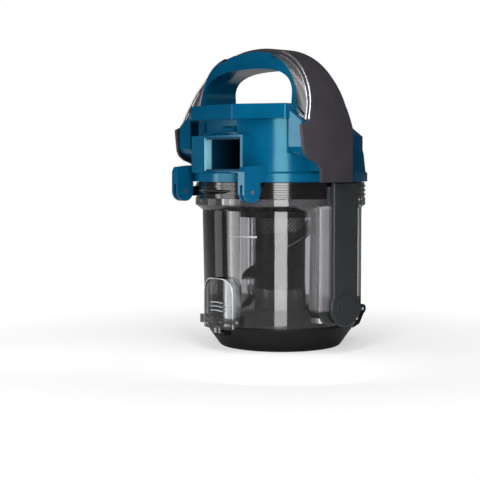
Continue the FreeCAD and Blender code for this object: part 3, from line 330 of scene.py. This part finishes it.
def make_materials():
    """One material for each slot of the record."""
    return {
        "lid_black": moulded("lid_black", (0.0038, 0.0038, 0.0038), 0.45, relief=0.05, shine=0.16),
        "clear_plastic": clear(
            "clear_plastic", (0.76, 0.76, 0.77), 0.0015, (0.42, 0.41, 0.43), gloss=0.9, milky_edges=0.22
        ),
        "clear_button": clear("clear_button", (0.88, 0.89, 0.91), 0.03, (0.6, 0.62, 0.65), gloss=0.7),
        "slate_plastic": moulded("slate_plastic", (0.0165, 0.021, 0.024), 0.40, relief=0.05, shine=0.28),
        "smoke_tube": clear("smoke_tube", (0.55, 0.55, 0.57), 0.24, (0.30, 0.30, 0.31)),
        "core_black": moulded("core_black", (0.0032, 0.0032, 0.0032), 0.26, shine=0.14),
        "screen_mesh": moulded("screen_mesh", (0.007, 0.007, 0.007), 0.30, shine=0.3),
        "ramp_smoke": clear("ramp_smoke", (0.74, 0.74, 0.75), 0.04, (0.10, 0.10, 0.105), gloss=0.5),
        "frame_black": moulded("frame_black", (0.004, 0.003, 0.004), 0.12, shine=0.65),
        "filter_paper": moulded("filter_paper", (0.70, 0.68, 0.63), 0.9, relief=0.2),
        "filter_foam": moulded("filter_foam", (0.03, 0.03, 0.03), 0.95, relief=0.4),
        "rubber": moulded("rubber", (0.016, 0.016, 0.016), 0.7, relief=0.08),
        "petrol_blue": moulded(
            "petrol_blue", (0.0002, 0.053, 0.113), 0.17, relief=0.015, shine=0.39, glint=(0.42, 0.95, 1.0)
        ),
        "shell_grey": moulded("shell_grey", (0.029, 0.0265, 0.032), 0.48, relief=0.05, shine=0.2),
        "silver_trim": moulded(
            "silver_trim", (0.172, 0.168, 0.172), 0.40, relief=0.002, shift=0.04, metallic=0.75
        ),
        "bright_edge": moulded("bright_edge", (0.80, 0.79, 0.80), 0.16, relief=0.0, shift=0.02, metallic=0.9),
        # Light grey that paints highlights on the edges of the clear button and the smoked vane.
        "painted_highlight_grey": moulded("painted_highlight_grey", (0.62, 0.64, 0.65), 0.12, relief=0.0, shift=0.03),
        "white_print": moulded("white_print", (0.85, 0.85, 0.85), 0.5, relief=0.0, shift=0.02),
        "steel": moulded("steel", (0.55, 0.55, 0.56), 0.25, relief=0.004, metallic=1.0),
    }


def duct_material_with_painted_light():
    """Dark blue deeper inside the duct, the housing's blue at its outer end, and lamp light painted as a
    lighter blue on its left wall there.
    """
    material, tree, output = new_material("duct_blue")
    shader = tree.nodes.new("ShaderNodeBsdfPrincipled")
    place = tree.nodes.new("ShaderNodeTexCoord")
    axes = tree.nodes.new("ShaderNodeSeparateXYZ")
    tree.links.new(place.outputs["Object"], axes.inputs[0])
    lip = spread(tree, axes.outputs["Y"], 1.0, 0.0, start=-0.0640, end=-0.0625)
    # Painted light: the mask below covers the duct's left inner wall at its outer end, which the lamps light,
    # drawn as a lighter blue.
    left = spread(tree, axes.outputs["X"], 1.0, 0.0, start=-0.0158, end=-0.0150)
    deep = two_tone(tree, noise(tree, TONES), (0.001, 0.020, 0.048), (0.001, 0.027, 0.062))
    outer = tree.nodes.new("ShaderNodeMix")
    outer.data_type = "RGBA"
    outer.inputs["A"].default_value = (0.001, 0.045, 0.100, 1.0)
    # This pale blue is the painted highlight of the lit left wall.
    outer.inputs["B"].default_value = (0.20, 0.46, 0.55, 1.0)
    tree.links.new(left, outer.inputs["Factor"])
    whole = tree.nodes.new("ShaderNodeMix")
    whole.data_type = "RGBA"
    tree.links.new(lip, whole.inputs["Factor"])
    tree.links.new(deep, whole.inputs["A"])
    tree.links.new(outer.outputs["Result"], whole.inputs["B"])
    tree.links.new(whole.outputs["Result"], shader.inputs["Base Color"])
    shader.inputs["Roughness"].default_value = 0.3
    tree.links.new(shader.outputs["BSDF"], output.inputs["Surface"])
    return material


MATERIALS = make_materials()
MATERIALS["duct_blue"] = duct_material_with_painted_light()


def paint_nodes():
    """Give every CAD node the material of its slot in the record."""
    slots = {row["node"]: row["material_slot"] for row in frame["record"]["subparts"]}
    for name, node in NODES.items():
        node.data.materials.clear()
        node.data.materials.append(MATERIALS[slots[name]])


# ---------------------------------------------------------------- pieces over the CAD


def mesh_piece(name, points, faces, material, smooth=True):
    """A mesh piece from points in millimetres."""
    mesh = bpy.data.meshes.new(name)
    mesh.from_pydata([[part * MM for part in point] for point in points], [], faces)
    shell = bmesh.new()
    shell.from_mesh(mesh)
    bmesh.ops.recalc_face_normals(shell, faces=shell.faces)
    shell.to_mesh(mesh)
    shell.free()
    for polygon in mesh.polygons:
        polygon.use_smooth = smooth
    mesh.materials.append(MATERIALS[material])
    piece = bpy.data.objects.new(name, mesh)
    bpy.context.scene.collection.objects.link(piece)
    return piece


def ring_faces(count, first, second):
    """Quads between two rings of points that start at the given indices."""
    faces = []
    for index in range(count):
        after = (index + 1) % count
        faces.append((first + index, first + after, second + after, second + index))
    return faces


def end_caps(points, ring):
    """Faces that close the first and the last ring of points."""
    last = range(len(points) - ring, len(points))
    return [tuple(reversed(range(ring))), tuple(last)]


def rope(name, path, radius, material, sides=8):
    """A round bar along a path, closed by a cap at each end."""
    path = [Vector(point) for point in path]
    points, faces = [], []
    across = None
    for index, point in enumerate(path):
        ahead = path[min(index + 1, len(path) - 1)] - path[max(index - 1, 0)]
        ahead.normalize()
        if across is None:
            across = ahead.orthogonal().normalized()
        across = (across - ahead * across.dot(ahead)).normalized()
        up = ahead.cross(across)
        for side in range(sides):
            turn = 2.0 * math.pi * side / sides
            points.append(point + (across * math.cos(turn) + up * math.sin(turn)) * radius)
        if index:
            faces += ring_faces(sides, (index - 1) * sides, index * sides)
    faces += end_caps(points, sides)
    return mesh_piece(name, points, faces, material)


# The handle's arches: half width, rise and height of the spring line, and the power of the curve.
TRIM_OUTER = (80.05, 72.55, 178.0, 2.2)
SHELL_CORNER = (83.2, 75.7, 178.0, 2.2)
RIDGE = (63.0, 59.3, 190.0, 2.85)
RIDGE_Y = -38.4
REAR_EDGE = (
    (187.0, -52.0), (190.0, -44.5), (206.0, -38.7), (220.0, -34.8),
    (233.0, -31.0), (245.0, -27.5), (258.0, -24.0),
)
# The crescent's foot is cut along a line through this X and height, and its tip ends at TIP_X.
FOOT_X, FOOT_HEIGHT, FOOT_SLOPE, TIP_X = 81.0, 190.2, 16.0 / 27.0, 29.2


def arch(shape, turn):
    """X and Z on one of the handle's arches, from the right foot at 0 to the crown at a quarter turn."""
    half, rise, spring, power = shape
    across = half * abs(math.cos(turn)) ** (2.0 / power)
    up = spring + rise * abs(math.sin(turn)) ** (2.0 / power)
    return across, up


def rear_edge(height):
    """Y of the handle's rear edge at a height."""
    if height <= REAR_EDGE[0][0]:
        return REAR_EDGE[0][1]
    for (low, low_y), (high, high_y) in zip(REAR_EDGE, REAR_EDGE[1:]):
        if height <= high:
            return low_y + (high_y - low_y) * (height - low) / (high - low)
    return REAR_EDGE[-1][1]


def slant_point(share, turn):
    """Point on the slanted rear face, from the shell's edge at 0 to the grip's ridge at 1."""
    outer_x, outer_z = arch(TRIM_OUTER, turn)
    inner_x, inner_z = arch(RIDGE, turn)
    outer = Vector((outer_x, rear_edge(outer_z), outer_z))
    inner = Vector((inner_x, RIDGE_Y, inner_z))
    return outer.lerp(inner, share)


def solve(measure, low, high):
    """The turn between low and high at which a rising measure passes zero."""
    for _ in range(30):
        middle = (low + high) / 2.0
        if measure(middle) < 0.0:
            low = middle
        else:
            high = middle
    return (low + high) / 2.0


def trim_ends(share):
    """First and last turn of the silver crescent at a share of its width."""

    def above_foot(turn):
        point = slant_point(share, turn)
        return point.z - FOOT_HEIGHT - (FOOT_X - point.x) * FOOT_SLOPE

    def past_tip(turn):
        return TIP_X - slant_point(share, turn).x

    return solve(above_foot, 0.0, 1.2), solve(past_tip, 0.2, 1.57)


def trim_surface(share, along, lift=0.0, side=1):
    """Point on the crescent at shares of its width and length, lifted off it rearwards."""
    first, last = trim_ends(share)
    point = slant_point(share, first + (last - first) * along)
    return Vector((point.x * side, point.y - lift, point.z))


def make_trims():
    """Silver crescents with a slightly crowned satin face, polished edges and, at the foot, a near-black bar
    that paints the shade of a groove.
    """
    stations, widths = 60, 8
    for side, word in ((-1, "left"), (1, "right")):
        points, faces = [], []
        ring = 2 * (widths + 1)
        for index in range(stations + 1):
            along = index / stations
            for step in range(widths + 1):
                share = step / widths
                crown = 0.15 + 0.5 * math.sin(math.pi * share)
                points.append(trim_surface(share, along, crown, side))
            for step in range(widths, -1, -1):
                point = trim_surface(step / widths, along, 0.0, side)
                points.append(point + Vector((-0.5 * side, 1.3, 0.0)))
            if index:
                faces += ring_faces(ring, (index - 1) * ring, index * ring)
        faces += end_caps(points, ring)
        face = mesh_piece(f"trim_face_{word}", points, faces, "silver_trim")
        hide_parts(f"trim_{word}")
        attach(face, "cover")

        outline = [trim_surface(0.0, 1.0 - step / 50, 0.45, side) for step in range(50)]
        outline += [trim_surface(share / 14, 0.0, 0.45, side) for share in range(15)]
        edge = rope(f"trim_edge_{word}", outline, 0.5, "bright_edge")
        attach(edge, "cover")

        corner = []
        for step in range(56):
            first, last = trim_ends(0.0)
            across, up = arch(SHELL_CORNER, last + (first - last) * step / 55)
            corner.append((across * side, rear_edge(up) - 0.05, up))
        rim = rope(f"shell_rim_{word}", corner, 0.85, "bright_edge")
        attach(rim, "cover")

        # Painted shade: a near-black bar on the crescent's face where the groove at its foot lies in shade.
        points, faces = [], []
        for step in range(9):
            share = 0.16 + 0.60 * step / 8
            for along, lift in ((0.022, 0.75), (0.046, 0.75), (0.046, -0.4), (0.022, -0.4)):
                points.append(trim_surface(share, along, lift, side))
            if step:
                faces += ring_faces(4, (step - 1) * 4, step * 4)
        faces += end_caps(points, 4)
        slot = mesh_piece(f"trim_groove_shade_{word}", points, faces, "frame_black", smooth=False)
        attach(slot, "cover")


def make_sleeve():
    """Perforated band of the separator: a tube with staggered rows of small round holes."""
    least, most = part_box("screen_sleeve")
    (low_x, _, low), (high_x, _, high) = [[part / MM for part in corner] for corner in (least, most)]
    outer = (high_x - low_x) / 2.0
    inner = outer - 0.6
    columns, rows, sides = 40, 12, 8
    pitch, step = 2.0 * math.pi / columns, (high - low) / rows
    hole = 0.80
    points, faces = [], []

    def place(radius, turn, up):
        points.append((radius * math.cos(turn), radius * math.sin(turn), up))
        return len(points) - 1

    for row in range(rows):
        for column in range(columns):
            turn = (column + 0.5 * (row % 2)) * pitch
            up = low + (row + 0.5) * step
            rims = []
            for radius in (outer, inner):
                frame_ring, hole_ring = [], []
                for side in range(sides):
                    angle = 2.0 * math.pi * (side + 0.5) / sides
                    across, rise = math.cos(angle), math.sin(angle)
                    stretch = 1.0 / max(abs(across), abs(rise))
                    turned = turn + across * stretch * pitch / 2
                    frame_ring.append(place(radius, turned, up + rise * stretch * step / 2))
                    hole_ring.append(place(radius, turn + across * hole / outer, up + rise * hole))
                rims.append((frame_ring, hole_ring))
            for frame_ring, hole_ring in rims:
                for side in range(sides):
                    after = (side + 1) % sides
                    faces.append((frame_ring[side], frame_ring[after], hole_ring[after], hole_ring[side]))
            for side in range(sides):
                after = (side + 1) % sides
                faces.append((rims[0][1][side], rims[0][1][after], rims[1][1][after], rims[1][1][side]))
    for up in (low, high):
        for column in range(columns * 2):
            turns = (column * pitch / 2, (column + 1) * pitch / 2)
            faces.append(tuple(place(radius, turn, up) for radius, turn in
                               ((outer, turns[0]), (outer, turns[1]), (inner, turns[1]), (inner, turns[0]))))
    sleeve = mesh_piece("perforated_band", points, faces, "screen_mesh", smooth=False)
    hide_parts("screen_sleeve")
    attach(sleeve, "container")


def make_coils():
    """Torsion springs wound round the button's pin and the catch's pin."""
    for node, body in (("button_spring", "container"), ("latch_spring", "cover")):
        low, high = [[part / MM for part in corner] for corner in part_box(node)]
        middle_y, middle_z = (low[1] + high[1]) / 2, (low[2] + high[2]) / 2
        wire = 0.3
        radius = (high[1] - low[1]) / 2 - wire - 0.02
        turns, steps = 9, 14
        length = high[0] - low[0] - 2 * wire - 0.04
        path = []
        for index in range(turns * steps + 1):
            angle = 2.0 * math.pi * index / steps
            along = low[0] + wire + 0.02 + length * index / (turns * steps)
            path.append((along, middle_y + radius * math.cos(angle), middle_z + radius * math.sin(angle)))
        coil = rope(node + "_coil", path, wire, "steel", sides=6)
        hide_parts(node)
        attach(coil, body)


def make_level_mark():
    """Short white line printed on the bin's outside at the level where it is full."""
    points, faces = [], []
    first, last, count = math.radians(-81.0), math.radians(-58.5), 24
    for index in range(count + 1):
        turn = first + (last - first) * index / count
        for radius, up in ((66.8, 95.9), (67.05, 95.9), (67.08, 97.4), (66.8, 97.4)):
            points.append((radius * math.cos(turn), radius * math.sin(turn), up))
        if index:
            faces += ring_faces(4, (index - 1) * 4, index * 4)
    faces += end_caps(points, 4)
    mark = mesh_piece("level_mark", points, faces, "white_print", smooth=False)
    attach(mark, "container")


def make_ramp_highlight():
    """Light grey bar along the upper part of the spiral vane, a painted highlight where the vane's edge
    catches the light.
    """
    radius, foot, pitch, start = 33.2, 57.9, 105.0, -130.0
    first, swept, count = 98.0, 40.0, 24
    path = []
    for step in range(count + 1):
        turn = first + swept * step / count
        angle = math.radians(start + turn)
        path.append((radius * math.cos(angle), radius * math.sin(angle), foot + pitch * turn / 360.0))
    edge = rope("ramp_edge_highlight", path, 0.32, "painted_highlight_grey", sides=6)
    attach(edge, "container")


def make_button_highlight():
    """Light grey rim round the arched outline of the release button, a painted highlight on its thick clear
    edge, and its grip lines in the same painted-highlight grey.
    """
    half, low, high, corner, radius = 18.9, 20.2, 61.0, 12.5, 71.75
    outline = [(-half, low + step * 3.0) for step in range(10)]
    for step in range(9):
        turn = math.pi - math.pi / 2 * step / 8
        outline.append((corner - half + corner * math.cos(turn), high - corner + corner * math.sin(turn)))
    for step in range(9):
        turn = math.pi / 2 - math.pi / 2 * step / 8
        outline.append((half - corner + corner * math.cos(turn), high - corner + corner * math.sin(turn)))
    outline += [(half, low + step * 3.0) for step in range(9, -1, -1)]
    path = [(across, -math.sqrt(radius ** 2 - across ** 2), up) for across, up in outline]
    rim = rope("button_rim_highlight", path, 0.42, "painted_highlight_grey")
    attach(rim, "button")
    # The grip lines are drawn in the same light grey, a painted highlight on their edges.
    for index, up in enumerate((34.0, 37.4, 40.8)):
        line = []
        for step in range(13):
            across = -8.0 + 16.0 * step / 12
            line.append((across, -math.sqrt(radius ** 2 - across ** 2), up + 0.6 * math.cos(across / 5.0)))
        grip = rope(f"button_grip_{index}", line, 0.38, "painted_highlight_grey", sides=6)
        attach(grip, "button")


def soften_edges():
    """Round off the sharp edges of the moulded pieces by a bevel over the CAD mesh."""
    widths = {
        "deck": 1.3, "handle_shell": 0.9, "handle_grip": 1.2, "upper_housing": 0.45, "hub_cap_left": 0.5,
        "hub_cap_right": 0.5, "side_column_left": 0.7, "side_column_right": 0.7, "lid_shell": 0.4,
        "cover_latch": 0.5, "hinge_bracket": 0.4, "filter_frame": 0.25, "bin_shell": 0.35,
    }
    for name, width in widths.items():
        bevel = NODES[name].modifiers.new("soft_edges", "BEVEL")
        bevel.width = width * MM
        bevel.segments = 2
        bevel.limit_method = "ANGLE"
        bevel.angle_limit = math.radians(38.0)
        bevel.use_clamp_overlap = True
        bevel.harden_normals = False


make_camera()
make_floor()
make_lights()
paint_nodes()
soften_edges()
make_trims()
make_sleeve()
make_coils()
make_level_mark()
make_ramp_highlight()
make_button_highlight()
